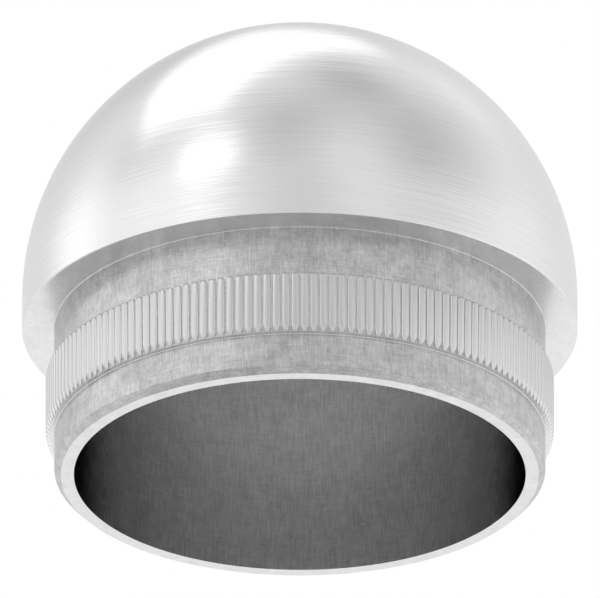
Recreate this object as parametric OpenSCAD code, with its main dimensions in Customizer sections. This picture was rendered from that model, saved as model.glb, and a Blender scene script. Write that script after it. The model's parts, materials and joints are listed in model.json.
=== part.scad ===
// Domed end cap for a round tube, turned in one piece. Its insert is pressed into the tube's bore,
// where the straight ribs of the knurled band grip, until the shoulder seats on the tube's cut end.
// Millimetres. The origin is the centre of the insert's rim, and +Z runs up the axis to the dome.

/* [Tube] */
// Outside diameter of the tube, and of the dome that ends it
tube_d = 42.4; // [33.7:0.1:60.3]
// Wall thickness of the tube
tube_wall = 2; // [1.5:0.1:2.6]

/* [Dome] */
// Height of the straight edge between the shoulder and the dome
edge_h = 2.55; // [1:0.05:8]
// Radius of the rounding on the edge's lower corner
edge_round = 0.1; // [0.05:0.05:0.5]
// Radius of the fillets under the shoulder and under the knurled band
root_fillet = 0.1; // [0.05:0.05:0.25]

/* [Insert] */
// Length of the insert below the shoulder
insert_l = 12.15; // [12:0.05:25]
// Gap all round between the plain insert and the tube's bore
insert_gap = 0.45; // [0.3:0.05:0.8]
// Wall thickness of the insert
insert_wall = 1.5; // [1:0.1:3]
// Width of the lead-in chamfer at the mouth
lead_in = 0.5; // [0.2:0.05:0.8]

/* [Knurl] */
// Plain length between the shoulder and the knurled band
knurl_start = 4.15; // [2:0.05:5]
// Length of the knurled band
knurl_l = 4.85; // [3:0.05:6]
// Gap all round between the band's base ring and the tube's bore
ring_gap = 0.1; // [0.05:0.01:0.2]
// How far the crest of each rib stands past the tube's bore
press = 0.2; // [0.1:0.02:0.3]
// Distance from rib to rib round the base ring
rib_pitch = 0.714; // [0.6:0.002:1.2]
// Width of the groove between two ribs
groove_w = 0.11; // [0.06:0.01:0.2]
// Width of the flat along the crest of a rib
crest_w = 0.36; // [0.2:0.02:0.4]
// Length of the taper that leads in the lower end of a rib
rib_taper = 0.6; // [0.3:0.05:1]
// Width of a rib at the tip of its taper
rib_tip_w = 0.22; // [0.2:0.02:0.4]
// Chamfer round the upper end of a rib
rib_chamfer = 0.14; // [0.06:0.02:0.18]

/* [Hidden] */
$fn = 96;

// Radii, from the tube's outside inwards
tube_r = tube_d / 2;
tube_bore_r = tube_r - tube_wall;
crest_r = tube_bore_r + press;
ring_r = tube_bore_r - ring_gap;
insert_r = tube_bore_r - insert_gap;
cavity_r = insert_r - insert_wall;

// Heights above the rim
shoulder_z = insert_l;
dome_z = shoulder_z + edge_h;
knurl_top_z = shoulder_z - knurl_start;
knurl_z = knurl_top_z - knurl_l;

// A rib is a round bar, sunk in the base ring until its crest comes to the flat's width
rib_count = round(2 * PI * ring_r / rib_pitch);
rib_step = 360 / rib_count;
rib_r = (2 * PI * ring_r / rib_count - groove_w) / 2;
rib_centre_r = crest_r - sqrt(rib_r * rib_r - crest_w * crest_w / 4);

// What is left of a square when a quarter disc about its far corner is taken away
module corner(r) difference() {
    square(r);
    translate([r, r]) circle(r = r);
}

// The right half of a disc about a point on the axis, from that point's height up
module quarter_disc(r) intersection() {
    circle(r = r);
    square(2 * r);
}

module dome_section() {
    translate([0, dome_z]) quarter_disc(tube_r);
    difference() {
        translate([0, shoulder_z]) square([tube_r, edge_h]);
        translate([tube_r, shoulder_z]) mirror([1, 0]) corner(edge_round);
    }
}

module insert_section() {
    polygon([
        [0, 0],
        [insert_r - lead_in, 0],
        [insert_r, lead_in],
        [insert_r, shoulder_z],
        [0, shoulder_z]
    ]);
    translate([0, knurl_z]) square([ring_r, knurl_l]);
    for (z = [shoulder_z, knurl_z]) translate([insert_r, z]) mirror([0, 1]) corner(root_fillet);
}

module cavity_section() {
    square([cavity_r, dome_z]);
    translate([0, dome_z]) quarter_disc(cavity_r);
}

module cap_body() rotate_extrude() difference() {
    union() {
        dome_section();
        insert_section();
    }
    cavity_section();
}

// One rib, standing at the origin along +Z: a round bar, tapered below and chamfered above
module rib_bar() rotate_extrude() polygon([
    [0, 0],
    [rib_tip_w / 2, 0],
    [rib_r, rib_taper],
    [rib_r, knurl_l - rib_chamfer],
    [rib_r - rib_chamfer, knurl_l],
    [0, knurl_l]
]);

// The band of ribs. A groove, not a rib, lies on each of the axes' directions
module knurl() intersection() {
    for (i = [0 : rib_count - 1])
        rotate((i + 0.5) * rib_step) translate([rib_centre_r, 0, knurl_z]) rib_bar();
    translate([0, 0, knurl_z]) cylinder(r = crest_r, h = knurl_l);
}

module insert_cap() color("silver") {
    cap_body();
    knurl();
}

insert_cap();
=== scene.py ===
import json
from math import cos, hypot, pi, radians, sin, tau

import bmesh
import bpy
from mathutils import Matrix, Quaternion, Vector


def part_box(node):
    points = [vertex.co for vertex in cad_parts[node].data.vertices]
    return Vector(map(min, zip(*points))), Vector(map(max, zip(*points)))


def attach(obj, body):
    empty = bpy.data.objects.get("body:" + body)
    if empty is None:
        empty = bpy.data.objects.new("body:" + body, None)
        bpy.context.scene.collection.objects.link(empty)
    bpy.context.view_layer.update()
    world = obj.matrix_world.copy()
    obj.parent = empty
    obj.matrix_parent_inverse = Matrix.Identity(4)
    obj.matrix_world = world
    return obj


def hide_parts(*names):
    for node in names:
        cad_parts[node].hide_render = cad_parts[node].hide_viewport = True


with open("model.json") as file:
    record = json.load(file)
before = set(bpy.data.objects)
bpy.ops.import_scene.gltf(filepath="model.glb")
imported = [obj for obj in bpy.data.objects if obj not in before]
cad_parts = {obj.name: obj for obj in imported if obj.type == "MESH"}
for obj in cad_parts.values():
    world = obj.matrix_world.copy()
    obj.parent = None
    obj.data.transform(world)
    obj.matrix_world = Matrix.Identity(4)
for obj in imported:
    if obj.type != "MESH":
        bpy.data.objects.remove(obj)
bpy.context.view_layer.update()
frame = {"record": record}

# A domed end cap for round tube, in one piece of steel. Its source solid gives the outside sizes
mm = 0.001
mounts = {mount["name"]: mount for mount in frame["record"]["mounts"]}
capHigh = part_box("insert_cap")[1]

# The turned body. Radii and heights in metres, heights from the rim that the cap stands on
bodySizes = {
    "domeRadius": capHigh.x,
    "topHeight": capHigh.z,
    "shoulderHeight": mounts["shoulder"]["pos_m"][2],
    "insertRadius": mounts["lead_band"]["dims"]["r_mm"] * mm,
    "wall": 1.5 * mm,
    "leadIn": 0.5 * mm,
    "edgeRound": 0.1 * mm,
    "fillet": 0.05 * mm,
    "support": 0.03 * mm,     # how near a plain ring lies to each rounding, to keep the flats flat
    "domeRings": 48,
    "boreRings": 24,
    "roundSteps": 4,
    "sharpAngle": 35,         # in degrees: faces that meet more steeply than this show a corner
}

# The knurled band: straight ribs with bullet-shaped ends on a base ring
ribSizes = {
    "count": 168,
    "bottom": 3.15 * mm,
    "top": 8 * mm,
    "ringRadius": 19.1 * mm,
    "height": 0.3 * mm,
    "footWidth": 0.62 * mm,
    "flankWidth": 0.1 * mm,   # how far each flank reaches in from the foot
    "flankRound": 0.95,       # the share of the flank's width that is rounded
    "roundSteps": 4,
    # Distance from that end of a rib, then its width and height there as shares of the full ones
    "lowerEnd": ((0.62 * mm, 1, 1), (0.3 * mm, 0.76, 0.8), (0, 0.3, 0.15)),
    "upperEnd": ((0.2 * mm, 1, 1), (0.07 * mm, 0.88, 0.97), (0, 0.62, 0.87)),
}

weldGap = 0.001 * mm          # points nearer to each other than this are one
ringGap = 5 * weldGap         # how far from its circle a ring's point may lie
domeHeight = bodySizes["topHeight"] - bodySizes["domeRadius"]
boreRadius = bodySizes["insertRadius"] - bodySizes["wall"]

# The finishes' places in the piece's list of materials
domeFinish, shoulderFinish, insertFinish, ribFinish, chamferFinish, rimFinish, boreFinish = range(7)


def arc(centreR, centreZ, radius, start, end, steps):
    # Points (r, z) along a round stretch of an outline, with angles in degrees from straight out
    angles = [radians(start + (end - start) * i / steps) for i in range(steps + 1)]
    return [(centreR + radius * cos(a), centreZ + radius * sin(a)) for a in angles]


def turn(bm, outline, finish):
    # Spins an open outline of (r, z) points once round the axis. The start line lies on +X, so that
    # the vertices of every ring meet the grooves of the knurl
    before = set(bm.faces)
    verts = [bm.verts.new((r, 0, z)) for r, z in outline]
    edges = [bm.edges.new(pair) for pair in zip(verts, verts[1:])]
    bmesh.ops.spin(bm, geom=verts + edges, cent=(0, 0, 0), axis=(0, 0, 1), dvec=(0, 0, 0),
                   angle=tau, steps=ribSizes["count"], use_merge=True,
                   use_normal_flip=False, use_duplicate=False)
    for face in set(bm.faces) - before:
        face.material_index = finish


def filletOutline(height):
    # From a flat that faces down, round the fillet in its corner and onto the insert's wall
    size = bodySizes["fillet"]
    near = bodySizes["support"]
    wallR = bodySizes["insertRadius"]
    curve = arc(wallR + size, height - size, size, 90, 180, bodySizes["roundSteps"])
    return [(wallR + size + near, height)] + curve + [(wallR, height - size - near)]


def turnBody(bm):
    size = bodySizes["edgeRound"]
    near = bodySizes["support"]
    domeR = bodySizes["domeRadius"]
    wallR = bodySizes["insertRadius"]
    shoulder = bodySizes["shoulderHeight"]
    lead = bodySizes["leadIn"]
    dome = arc(0, domeHeight, domeR, 90, 0, bodySizes["domeRings"])
    edge = arc(domeR - size, shoulder + size, size, 0, -90, bodySizes["roundSteps"])
    upper = filletOutline(shoulder)
    lower = filletOutline(ribSizes["bottom"])
    bore = arc(0, domeHeight, boreRadius, 0, 90, bodySizes["boreRings"])
    turn(bm, dome + [(domeR, shoulder + size + near), edge[0]], domeFinish)
    turn(bm, edge + [(domeR - size - near, shoulder)] + upper[:-1], shoulderFinish)
    turn(bm, upper[-2:] + [(wallR, ribSizes["top"])], insertFinish)
    turn(bm, lower[:-1], shoulderFinish)
    turn(bm, lower[-2:] + [(wallR, lead)], insertFinish)
    turn(bm, [(wallR, lead), (wallR - lead, 0)], chamferFinish)
    turn(bm, [(wallR - lead, 0), (boreRadius, 0)], rimFinish)
    turn(bm, [(boreRadius, 0)] + bore, boreFinish)


def ribRows():
    # Each row across a flat rib: its place up the rib, then its shares of the width and the height
    half = (ribSizes["top"] - ribSizes["bottom"]) / 2
    lower = [(reach - half, width, height) for reach, width, height in ribSizes["lowerEnd"]]
    upper = [(half - reach, width, height) for reach, width, height in ribSizes["upperEnd"]]
    return lower + upper


def isLongEdge(edge, crest, foot):
    # Whether it is a part of either long edge of the crest
    first, second = edge.verts
    return (first in crest and second in crest and abs(abs(first.co.x) - foot) < weldGap
            and abs(first.co.x - second.co.x) < weldGap)


def makeRib(bm):
    # One rib on its share of the ring, laid flat: X round the ring, Y up the axis, Z outwards
    pitch = tau * ribSizes["ringRadius"] / ribSizes["count"]
    length = ribSizes["top"] - ribSizes["bottom"]
    foot = ribSizes["footWidth"] / 2
    flank = ribSizes["flankWidth"]
    rows = ribRows()
    bmesh.ops.create_grid(bm, x_segments=1, y_segments=1, size=0.5)
    bmesh.ops.scale(bm, vec=(pitch, length, 1), verts=bm.verts)
    cuts = [((side * foot, 0, 0), (1, 0, 0)) for side in (-1, 1)]
    cuts += [((0, row[0], 0), (0, 1, 0)) for row in rows if abs(row[0]) < length / 2 - weldGap]
    for point, direction in cuts:
        bmesh.ops.bisect_plane(bm, geom=bm.verts[:] + bm.edges[:] + bm.faces[:], dist=weldGap,
                               plane_co=point, plane_no=direction)
    strip = [face for face in bm.faces if abs(face.calc_center_median().x) < foot]
    raised = bmesh.ops.extrude_face_region(bm, geom=strip)["geom"]
    crest = [item for item in raised if isinstance(item, bmesh.types.BMVert)]
    bmesh.ops.delete(bm, geom=strip, context="FACES")
    # The crest is rounded while it is as high as a flank is wide, and then brought to its height
    bmesh.ops.translate(bm, vec=(0, 0, flank), verts=crest)
    longEdges = [edge for edge in bm.edges if isLongEdge(edge, crest, foot)]
    bmesh.ops.bevel(bm, geom=longEdges, offset=ribSizes["flankRound"] * flank,
                    offset_type="OFFSET", segments=ribSizes["roundSteps"], profile=0.5,
                    affect="EDGES", material=-1)
    bmesh.ops.scale(bm, vec=(1, 1, ribSizes["height"] / flank), verts=bm.verts)
    for y, width, height in rows:
        row = [vert for vert in bm.verts
               if abs(vert.co.y - y) < weldGap and abs(vert.co.x) < foot + weldGap]
        bmesh.ops.scale(bm, vec=(width, 1, height), verts=row)
    middle = (ribSizes["top"] + ribSizes["bottom"]) / 2
    bmesh.ops.translate(bm, vec=(0, middle, 0), verts=bm.verts)


def wrapOnRing(bm):
    # Bends the flat rib round the axis, with its middle half a pitch past +X
    ring = ribSizes["ringRadius"]
    half = pi / ribSizes["count"]
    for vert in bm.verts:
        angle = vert.co.x / ring + half
        reach = ring + vert.co.z
        vert.co = (reach * cos(angle), reach * sin(angle), vert.co.y)


def addKnurl(bm):
    knurl = bmesh.new()
    makeRib(knurl)
    wrapOnRing(knurl)
    step = tau / ribSizes["count"]
    bmesh.ops.spin(knurl, geom=knurl.verts[:] + knurl.edges[:] + knurl.faces[:],
                   cent=(0, 0, 0), axis=(0, 0, 1), dvec=(0, 0, 0),
                   angle=tau - step, steps=ribSizes["count"] - 1, use_merge=False,
                   use_normal_flip=False, use_duplicate=True)
    bmesh.ops.remove_doubles(knurl, verts=knurl.verts, dist=weldGap)
    for face in knurl.faces:
        face.material_index = ribFinish
    mesh = bpy.data.meshes.new("knurl")
    knurl.to_mesh(mesh)
    knurl.free()
    bm.from_mesh(mesh)
    bpy.data.meshes.remove(mesh)


def ringEdges(bm, radius, height):
    # The open edges that lie in a circle at that radius and height
    def onCircle(vert):
        return (abs(hypot(vert.co.x, vert.co.y) - radius) < ringGap
                and abs(vert.co.z - height) < weldGap)
    return [edge for edge in bm.edges if edge.is_boundary and all(map(onCircle, edge.verts))]


def closeKnurl(bm):
    # The flat rings that join the band to the insert: its wall above, its fillet below
    wallR = bodySizes["insertRadius"]
    filletR = wallR + bodySizes["fillet"] + bodySizes["support"]
    for height, inner, finish in ((ribSizes["top"], wallR, insertFinish),
                                  (ribSizes["bottom"], filletR, shoulderFinish)):
        edges = ringEdges(bm, inner, height) + ringEdges(bm, ribSizes["ringRadius"], height)
        for face in bmesh.ops.bridge_loops(bm, edges=edges)["faces"]:
            face.material_index = finish


def makeCap():
    bm = bmesh.new()
    turnBody(bm)
    addKnurl(bm)
    bmesh.ops.remove_doubles(bm, verts=bm.verts, dist=weldGap)
    closeKnurl(bm)
    bmesh.ops.recalc_face_normals(bm, faces=bm.faces)
    loose = sum(1 for edge in bm.edges if not edge.is_manifold)
    volume = bm.calc_volume() / mm ** 3
    print(f"cap: {len(bm.faces)} faces, {loose} open edges, volume {volume:.1f} mm3")
    mesh = bpy.data.meshes.new("insertCap")
    bm.to_mesh(mesh)
    bm.free()
    mesh.shade_smooth()
    mesh.set_sharp_from_angle(angle=radians(bodySizes["sharpAngle"]))
    cap = bpy.data.objects.new("insertCap", mesh)
    bpy.context.collection.objects.link(cap)
    return cap


# Finishes. Tones are shares of the light that the steel sends back, and lengths are in metres. A
# shift says how far a pattern takes a tone or a roughness up and down, as a share of its middle
patternNoise = {"roughness": 0.8, "lineDetail": 2, "cloudDetail": 5}
domeLook = {
    "tone": 0.72,
    "toneShift": 0.2,
    "roughness": 0.2,
    "glossShift": 0.3,
    "lineSpacing": 0.09 * mm,
    "lineRun": 7 * mm,
    "lineDepth": 0.0075 * mm,
    "bandSpread": 4,          # how much wider and longer the bands are than the lines
    "bandShare": 2,           # and how much deeper
}
insertLook = {
    "tone": 0.465,
    "toneShifts": {"Clouds": 1.1, "Upright": 0.85, "Level": 0.55},
    "roughness": 0.3,
    "glossShift": 0.6,
    "cloudSize": 1.3 * mm,
    "scratchSpacing": 0.1 * mm,
    "scratchRun": 1.4 * mm,
    "scratchDepth": 0.001 * mm,
}
shoulderLook = {
    **insertLook,
    "tone": 0.72,
    "toneShifts": {"Clouds": 0.3, "Upright": 0.6, "Level": 0.12},
    "glossShift": 0.2,
}
chamferLook = {**insertLook, "tone": 0.56, "roughness": 0.48}
rimLook = {
    **insertLook,
    "tone": 0.68,
    "toneShifts": {"Clouds": 0.3, "Upright": 0.3, "Level": 0.3},
}
boreLook = {
    **insertLook,
    "tone": 0.62,
    "toneShifts": {"Clouds": 0.6, "Upright": 0.9, "Level": 0.5},
    # Seen along its wall the bore is glossier: between these two values of Facing, by this much
    "glancing": {"from": 0.52, "to": 0.76, "change": -0.21},
}
# Painted light: flanks are painted brighter than the crests, the more a face turns from straight
# out, to lighten the shade in the grooves. Painted shade: between the ribs' lower tips the base
# ring is darkened to the root shade share
ribLook = {
    "crestTone": 0.565,
    "flankPaintedLightTone": 1,
    "steepest": 0.2,          # how far a flank of the full tone still faces outwards, as a cosine
    "flattest": 0.8,          # and one of the crest's tone
    "roughness": 0.3,
    "rootShadeShare": 0.76,
    "rootHeight": 0.07 * mm,
    "rootFrom": 0.3 * mm,     # heights above the band's foot between which the share fades out
    "rootTo": 0.6 * mm,
}


def addNode(tree, kind, values=(), **settings):
    # A node with its settings, and its first inputs linked or set from values
    node = tree.nodes.new("ShaderNode" + kind)
    for name, setting in settings.items():
        setattr(node, name, setting)
    for socket, value in zip(node.inputs, values):
        if isinstance(value, bpy.types.NodeSocket):
            tree.links.new(value, socket)
        elif value is not None:
            socket.default_value = value
    return node


def calculate(tree, operation, *values):
    return addNode(tree, "Math", values, operation=operation).outputs[0]


def measure(tree, operation, *vectors):
    # A number taken from one vector or two
    return addNode(tree, "VectorMath", vectors, operation=operation).outputs["Value"]


def readPlace(tree):
    # The coordinates of a point on the piece
    return addNode(tree, "SeparateXYZ", [addNode(tree, "TexCoord").outputs["Object"]]).outputs


def fromAxis(tree, place):
    # The level vector that goes from the axis out to the point
    return addNode(tree, "CombineXYZ", [place["X"], place["Y"]]).outputs[0]


def addPattern(tree, place, spacings, detail):
    # Noise whose patches have those three sizes
    parts = [calculate(tree, "DIVIDE", part, size) for part, size in zip(place, spacings)]
    noise = addNode(tree, "TexNoise", [addNode(tree, "CombineXYZ", parts).outputs[0]])
    noise.inputs["Scale"].default_value = 1
    noise.inputs["Detail"].default_value = detail
    noise.inputs["Roughness"].default_value = patternNoise["roughness"]
    return noise.outputs["Fac"]


def startGroup(name, inputs, outputs):
    group = bpy.data.node_groups.new(name, "ShaderNodeTree")
    for title in inputs:
        group.interface.new_socket(name=title, in_out="INPUT", socket_type="NodeSocketFloat")
    for title in outputs:
        group.interface.new_socket(name=title, in_out="OUTPUT", socket_type="NodeSocketFloat")
    given = group.nodes.new("NodeGroupInput").outputs
    return group, given, group.nodes.new("NodeGroupOutput").inputs


def useGroup(tree, group, values):
    node = tree.nodes.new("ShaderNodeGroup")
    node.node_tree = group
    for name, value in values.items():
        node.inputs[name].default_value = value
    return node.outputs


def makeBrushGroup():
    # Fine lines that run round the axis, spaced evenly up the dome whatever its slope
    group, given, put = startGroup("brushedRings", ("Spacing", "Run", "Radius", "Centre"),
                                   ("Lines", "Bands"))
    place = readPlace(group)
    up = calculate(group, "SUBTRACT", place["Z"], given["Centre"])
    slope = calculate(group, "ARCTAN2", up, measure(group, "LENGTH", fromAxis(group, place)))
    climb = calculate(group, "MULTIPLY", slope, given["Radius"])
    for output, spread in (("Lines", 1), ("Bands", domeLook["bandSpread"])):
        spacing = calculate(group, "MULTIPLY", given["Spacing"], spread)
        run = calculate(group, "MULTIPLY", given["Run"], spread)
        pattern = addPattern(group, (place["X"], place["Y"], climb), (run, run, spacing),
                             patternNoise["lineDetail"])
        group.links.new(pattern, put[output])
    return group


def makeSatinGroup():
    # Cloudy patches, with short fine scratches up the axis and round it
    group, given, put = startGroup("satinWear", ("Cloud Size", "Spacing", "Run"),
                                   ("Clouds", "Upright", "Level"))
    place = readPlace(group)
    patterns = {
        "Clouds": (given["Cloud Size"], given["Cloud Size"], patternNoise["cloudDetail"]),
        "Upright": (given["Spacing"], given["Run"], patternNoise["lineDetail"]),
        "Level": (given["Run"], given["Spacing"], patternNoise["lineDetail"]),
    }
    for output, (across, up, detail) in patterns.items():
        group.links.new(addPattern(group, place, (across, across, up), detail), put[output])
    return group


def startSteel(name):
    material = bpy.data.materials.new(name)
    material.use_nodes = True
    tree = material.node_tree
    shader = tree.nodes["Principled BSDF"]
    shader.inputs["Metallic"].default_value = 1
    return material, tree, shader


def centred(tree, value, amount, middle):
    # middle x (1 + amount x (value - 0.5)): a share more or less of a plain value
    return calculate(tree, "MULTIPLY_ADD", value, amount * middle, middle * (1 - amount / 2))


def setTone(tree, shader, tone):
    grey = addNode(tree, "CombineColor", [tone, tone, tone]).outputs[0]
    tree.links.new(grey, shader.inputs["Base Color"])


def addRelief(tree, shader, height, depth):
    bump = addNode(tree, "Bump")
    bump.inputs["Distance"].default_value = depth
    tree.links.new(height, bump.inputs["Height"])
    tree.links.new(bump.outputs["Normal"], shader.inputs["Normal"])


def makeDomeSteel(group):
    material, tree, shader = startSteel("brushedDome")
    brush = useGroup(tree, group, {"Spacing": domeLook["lineSpacing"], "Run": domeLook["lineRun"],
                                   "Radius": bodySizes["domeRadius"], "Centre": domeHeight})
    bands = calculate(tree, "MULTIPLY", brush["Bands"], domeLook["bandShare"])
    gloss = centred(tree, brush["Bands"], domeLook["glossShift"], domeLook["roughness"])
    setTone(tree, shader, centred(tree, brush["Lines"], domeLook["toneShift"], domeLook["tone"]))
    tree.links.new(gloss, shader.inputs["Roughness"])
    addRelief(tree, shader, calculate(tree, "ADD", brush["Lines"], bands), domeLook["lineDepth"])
    return material


def makeSatinSteel(name, look, group):
    material, tree, shader = startSteel(name)
    wear = useGroup(tree, group, {"Cloud Size": look["cloudSize"],
                                  "Spacing": look["scratchSpacing"], "Run": look["scratchRun"]})
    tone = look["tone"]
    for output, shift in look["toneShifts"].items():
        tone = calculate(tree, "MULTIPLY", tone, centred(tree, wear[output], shift, 1))
    setTone(tree, shader, tone)
    gloss = centred(tree, wear["Clouds"], look["glossShift"], look["roughness"])
    if "glancing" in look:
        glancing = look["glancing"]
        facing = addNode(tree, "LayerWeight").outputs["Facing"]
        change = addNode(tree, "MapRange", [facing, glancing["from"], glancing["to"],
                                            0, glancing["change"]]).outputs[0]
        gloss = calculate(tree, "ADD", gloss, change)
    tree.links.new(gloss, shader.inputs["Roughness"])
    scratches = calculate(tree, "ADD", wear["Upright"], wear["Level"])
    addRelief(tree, shader, scratches, look["scratchDepth"])
    return material


def makeRibSteel():
    material, tree, shader = startSteel("knurledRibs")
    place = readPlace(tree)
    outward = fromAxis(tree, place)
    direction = addNode(tree, "VectorMath", [outward], operation="NORMALIZE").outputs[0]
    normal = addNode(tree, "NewGeometry").outputs["Normal"]
    facing = measure(tree, "DOT_PRODUCT", normal, direction)
    # Painted light: the flanks get a brighter tone the more they turn from straight out
    paintedFlankLight = addNode(tree, "MapRange", [facing, ribLook["steepest"], ribLook["flattest"],
                                       ribLook["flankPaintedLightTone"], ribLook["crestTone"]]).outputs[0]
    ring, foot = ribSizes["ringRadius"], ribSizes["bottom"]
    # Painted shade: the base ring between the lower tips is darkened near the band's foot
    root = addNode(tree, "MapRange", [place["Z"], foot + ribLook["rootFrom"],
                                      foot + ribLook["rootTo"],
                                      ribLook["rootShadeShare"], 1]).outputs[0]
    share = addNode(tree, "MapRange", [measure(tree, "LENGTH", outward),
                                       ring, ring + ribLook["rootHeight"], root, 1]).outputs[0]
    setTone(tree, shader, calculate(tree, "MULTIPLY", paintedFlankLight, share))
    shader.inputs["Roughness"].default_value = ribLook["roughness"]
    return material


cap = makeCap()
satin = makeSatinGroup()
# In the order of the finishes' places
for material in (makeDomeSteel(makeBrushGroup()),
                 makeSatinSteel("turnedShoulder", shoulderLook, satin),
                 makeSatinSteel("satinInsert", insertLook, satin),
                 makeRibSteel(),
                 makeSatinSteel("turnedChamfer", chamferLook, satin),
                 makeSatinSteel("turnedRim", rimLook, satin),
                 makeSatinSteel("satinBore", boreLook, satin)):
    cap.data.materials.append(material)
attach(cap, "root")
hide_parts("insert_cap")
print("steel finished")

# The studio: a white tent with soft lighter and darker sides. Each patch of it has its azimuth (0
# is the camera's side, 90 the right), its elevation, the angle at which it has faded out, and its
# strength
tent = {
    "base": 0.62,
    # Lighter above its lowest part: between these two heights, as sines of the elevation, by this
    "rise": {"from": -0.8, "to": -0.5, "change": 0.37},
    "patches": (
        (-54, -1, 63, 0.46), (74, -13, 80, 0.34), (-107, 21, 26, 0.48), (23, 47, 27, 0.23),
        (134, 53, 15, 0.16), (2, -29, 100, -0.35), (63, 46, 41, -0.39), (1, 56, 31, -0.35),
        (-165, 49, 29, -0.2), (68, 78, 18, -0.36), (180, -25, 60, 0.18), (0, -30, 40, 0.33),
        (-25, 25, 45, -0.03), (180, 30, 70, -0.12), (125, 5, 45, 0.06), (0, -62, 38, 0.28),
        (28, 17, 25, 0.09), (-84, 45, 20, -0.14),
    ),
}
# Softboxes, a metre from the rim's centre: azimuth, elevation and roll in degrees, then width and
# height in metres, shape and radiance
softboxes = {
    "overheadBox": {"azimuth": -127, "elevation": 71.4, "roll": -5,
                    "size": (1.09, 0.5), "shape": "RECTANGLE", "radiance": 0.6},
    "roundBox": {"azimuth": -41.6, "elevation": 39.5, "roll": 0,
                 "size": (0.4, 0.38), "shape": "ELLIPSE", "radiance": 0.6},
}


def towards(azimuth, elevation):
    turned, raised = radians(azimuth), radians(elevation)
    return Vector((sin(turned) * cos(raised), -cos(turned) * cos(raised), sin(raised)))


def fade(tree, value, start, end, atStart, atEnd):
    # Goes softly from one strength to another while the value goes from start to end
    return addNode(tree, "MapRange", [value, start, end, atStart, atEnd],
                   interpolation_type="SMOOTHSTEP").outputs[0]


def pitchTent():
    world = bpy.data.worlds.new("studio")
    world.use_nodes = True
    tree = world.node_tree
    direction = addNode(tree, "TexCoord").outputs["Generated"]
    height = addNode(tree, "SeparateXYZ", [direction]).outputs["Z"]
    rise = tent["rise"]
    step = fade(tree, height, rise["from"], rise["to"], 0, rise["change"])
    total = calculate(tree, "ADD", tent["base"], step)
    for azimuth, elevation, reach, strength in tent["patches"]:
        along = measure(tree, "DOT_PRODUCT", direction, towards(azimuth, elevation))
        angle = calculate(tree, "ARCCOSINE", along)
        patch = fade(tree, angle, 0, radians(reach), strength, 0)
        total = calculate(tree, "ADD", total, patch)
    # The camera itself sees plain white
    seen = addNode(tree, "LightPath").outputs["Is Camera Ray"]
    shown = addNode(tree, "Mix", [seen, None, total, 1.0], data_type="FLOAT")
    tree.links.new(shown.outputs[0], tree.nodes["Background"].inputs["Strength"])
    tree.nodes["Background"].inputs["Color"].default_value = (1, 1, 1, 1)
    bpy.context.scene.world = world


def addSoftbox(name, box):
    light = bpy.data.lights.new(name, "AREA")
    light.shape = box["shape"]
    light.size, light.size_y = box["size"]
    area = light.size * light.size_y * (pi / 4 if box["shape"] == "ELLIPSE" else 1)
    light.energy = box["radiance"] * area * pi
    lamp = bpy.data.objects.new(name, light)
    away = towards(box["azimuth"], box["elevation"])
    roll = Quaternion((0, 0, 1), radians(box["roll"]))
    lamp.location = away
    lamp.rotation_mode = "QUATERNION"
    lamp.rotation_quaternion = away.to_track_quat("Z", "Y") @ roll
    lamp.visible_camera = False
    bpy.context.collection.objects.link(lamp)


# Solid out to the first distance from the axis, and faded out at the radius
floorSizes = {"solidTo": 0.12, "radius": 0.6, "segments": 96, "tone": 0.82}


def makeFloor():
    # A pale floor under the rim that only a view from above sees, so that one from below passes it
    bm = bmesh.new()
    bmesh.ops.create_circle(bm, segments=floorSizes["segments"], radius=floorSizes["radius"],
                            cap_ends=True)
    mesh = bpy.data.meshes.new("studioFloor")
    bm.to_mesh(mesh)
    bm.free()
    floor = bpy.data.objects.new("studioFloor", mesh)
    material = bpy.data.materials.new("paleFloor")
    material.use_nodes = True
    tree = material.node_tree
    tree.nodes.remove(tree.nodes["Principled BSDF"])
    pale = addNode(tree, "BsdfDiffuse")
    pale.inputs["Color"].default_value = (floorSizes["tone"],) * 3 + (1,)
    away = measure(tree, "LENGTH", addNode(tree, "TexCoord").outputs["Object"])
    solid = fade(tree, away, floorSizes["solidTo"], floorSizes["radius"], 1, 0)
    front = calculate(tree, "SUBTRACT", 1, addNode(tree, "NewGeometry").outputs["Backfacing"])
    seen = calculate(tree, "MULTIPLY", front, addNode(tree, "LightPath").outputs["Is Camera Ray"])
    mix = addNode(tree, "MixShader", [calculate(tree, "MULTIPLY", seen, solid),
                                      addNode(tree, "BsdfTransparent").outputs[0],
                                      pale.outputs[0]])
    tree.links.new(mix.outputs[0], tree.nodes["Material Output"].inputs["Surface"])
    mesh.materials.append(material)
    bpy.context.collection.objects.link(floor)


pitchTent()
for name, box in softboxes.items():
    addSoftbox(name, box)
makeFloor()
bpy.context.scene.view_settings.view_transform = "Standard"
print("studio set up")

# A parallel view from below the rim. The aim is the point in the middle of the frame
cameraSizes = {
    "elevation": -25,
    "aim": (0.014 * mm, 0, 14.774 * mm),
    "distance": 0.3,
    "frameWidth": 600,        # in pixels
    "pixelsPerMm": 13.0994,
    "clipStart": 0.01,
}


def addCamera():
    data = bpy.data.cameras.new("camera")
    data.type = "ORTHO"
    data.ortho_scale = cameraSizes["frameWidth"] / cameraSizes["pixelsPerMm"] * mm
    data.clip_start = cameraSizes["clipStart"]
    camera = bpy.data.objects.new("camera", data)
    away = towards(0, cameraSizes["elevation"])
    camera.location = Vector(cameraSizes["aim"]) + away * cameraSizes["distance"]
    camera.rotation_euler = (pi / 2 - radians(cameraSizes["elevation"]), 0, 0)
    bpy.context.collection.objects.link(camera)
    bpy.context.scene.camera = camera


addCamera()
print("camera set")
